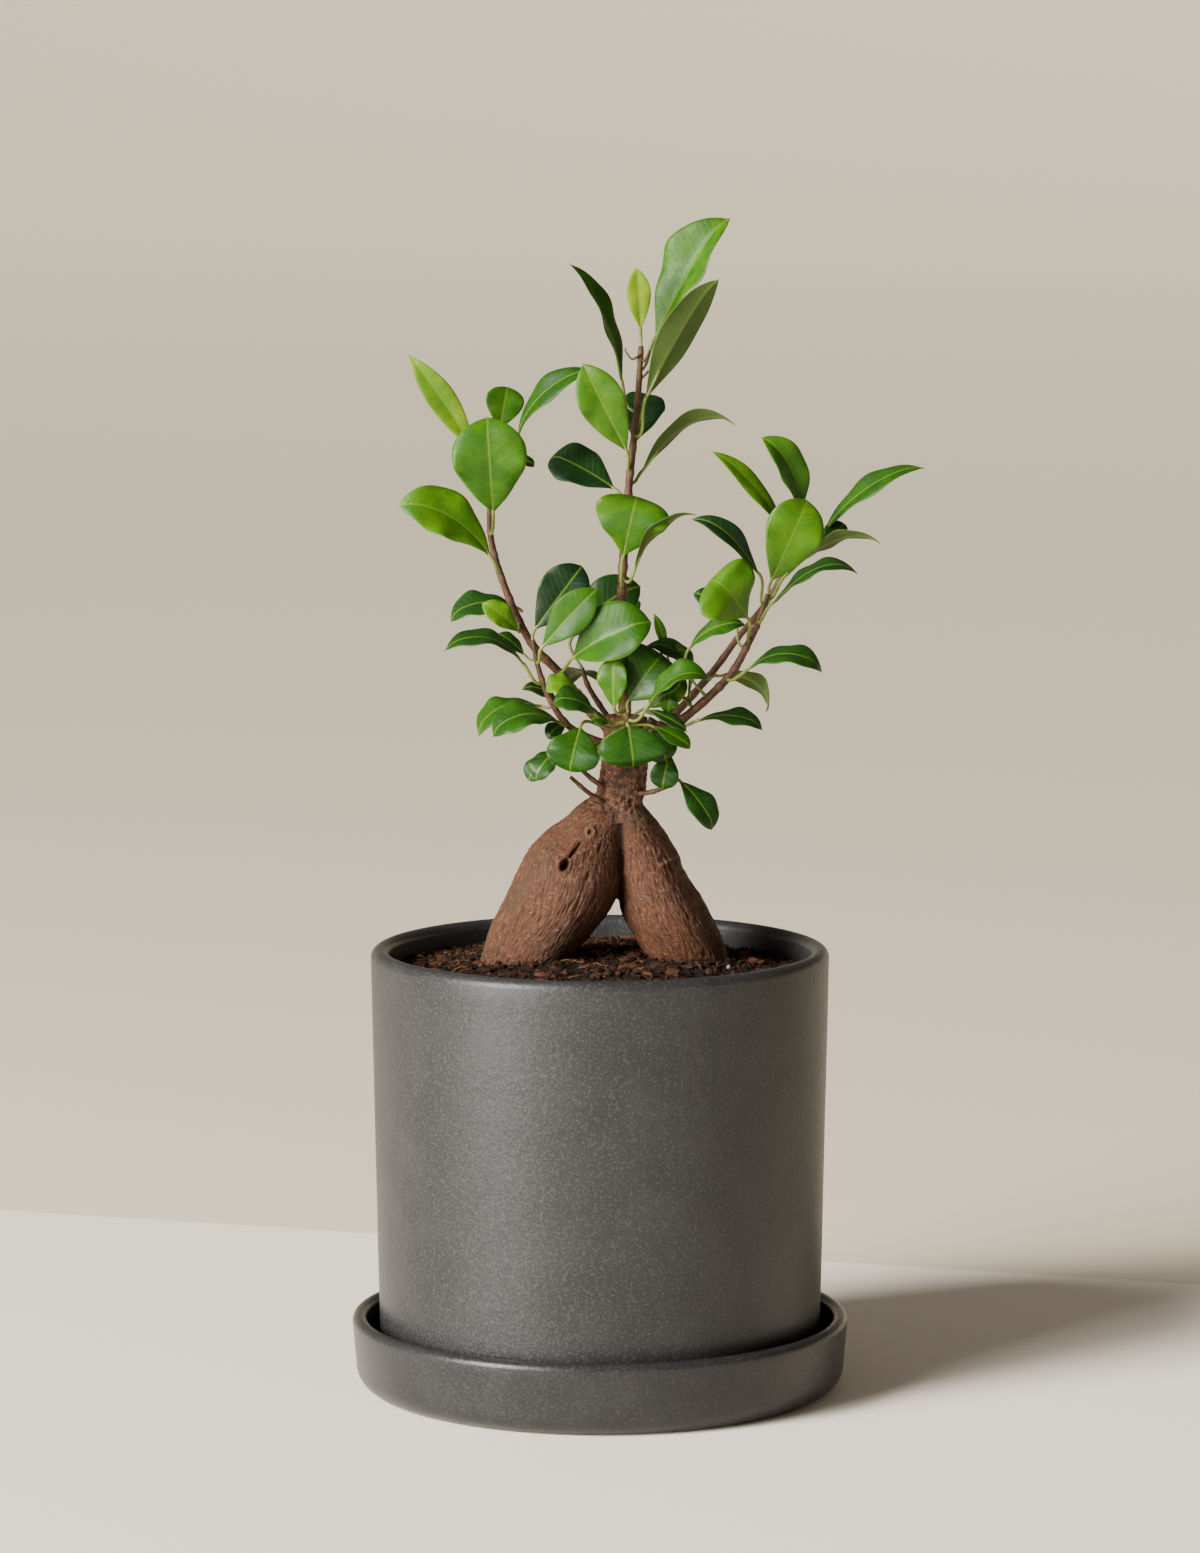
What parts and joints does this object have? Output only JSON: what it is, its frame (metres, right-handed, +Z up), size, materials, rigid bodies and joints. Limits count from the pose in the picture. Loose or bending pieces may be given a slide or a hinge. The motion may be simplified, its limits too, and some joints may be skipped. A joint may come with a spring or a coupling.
{
  "type": "potted bonsai tree",
  "caption": "Small ficus bonsai with swollen forked roots, a cut stump and leafy shoots, planted in a round glazed pot on a matching saucer.",
  "frame": {"origin": "centre of the saucer's flat underside", "axes": "+Z up through the pot's centre line; +X to the right seen from the plant's front; the front is on -Y"},
  "size_m": [0.2054, 0.1796, 0.4229],
  "materials": {
    "pot_glaze": "matte",
    "soil_mix": "matte",
    "trunk_bark": "matte",
    "stem_bark": "satin",
    "leaf_green": "satin"
  },
  "bodies": {
    "root": {"front_leaf_1": "leaf_green", "front_leaf_2": "leaf_green", "front_leaf_3": "leaf_green", "front_leaf_4": "leaf_green", "front_leaf_5": "leaf_green", "front_leaf_6": "leaf_green", "front_stem": "stem_bark", "leader_leaf_1": "leaf_green", "leader_leaf_10": "leaf_green", "leader_leaf_2": "leaf_green", "leader_leaf_3": "leaf_green", "leader_leaf_4": "leaf_green", "leader_leaf_5": "leaf_green", "leader_leaf_6": "leaf_green", "leader_leaf_7": "leaf_green", "leader_leaf_8": "leaf_green", "leader_leaf_9": "leaf_green", "leader_stem": "stem_bark", "left_main_leaf_1": "leaf_green", "left_main_leaf_2": "leaf_green", "left_main_leaf_3": "leaf_green", "left_main_leaf_4": "leaf_green", "left_main_leaf_5": "leaf_green", "left_main_leaf_6": "leaf_green", "left_main_stem": "stem_bark", "left_side_leaf_1": "leaf_green", "left_side_leaf_2": "leaf_green", "left_side_leaf_3": "leaf_green", "left_side_leaf_4": "leaf_green", "left_side_leaf_5": "leaf_green", "left_side_stem": "stem_bark", "left_thin_leaf_1": "leaf_green", "left_thin_stem": "stem_bark", "low_left_leaf_1": "leaf_green", "low_left_twig": "stem_bark", "low_right_leaf_1": "leaf_green", "low_right_twig": "stem_bark", "pot": "pot_glaze", "rear_leaf_1": "leaf_green", "rear_leaf_2": "leaf_green", "rear_leaf_3": "leaf_green", "rear_leaf_4": "leaf_green", "rear_leaf_5": "leaf_green", "rear_stem": "stem_bark", "right_back_leaf_1": "leaf_green", "right_back_leaf_2": "leaf_green", "right_back_leaf_3": "leaf_green", "right_back_leaf_4": "leaf_green", "right_back_stem": "stem_bark", "right_front_leaf_1": "leaf_green", "right_front_leaf_2": "leaf_green", "right_front_leaf_3": "leaf_green", "right_front_leaf_4": "leaf_green", "right_front_leaf_5": "leaf_green", "right_front_leaf_6": "leaf_green", "right_front_leaf_7": "leaf_green", "right_front_stem": "stem_bark", "saucer": "pot_glaze", "soil": "soil_mix", "trunk": "trunk_bark"}
  },
  "joints": []
}
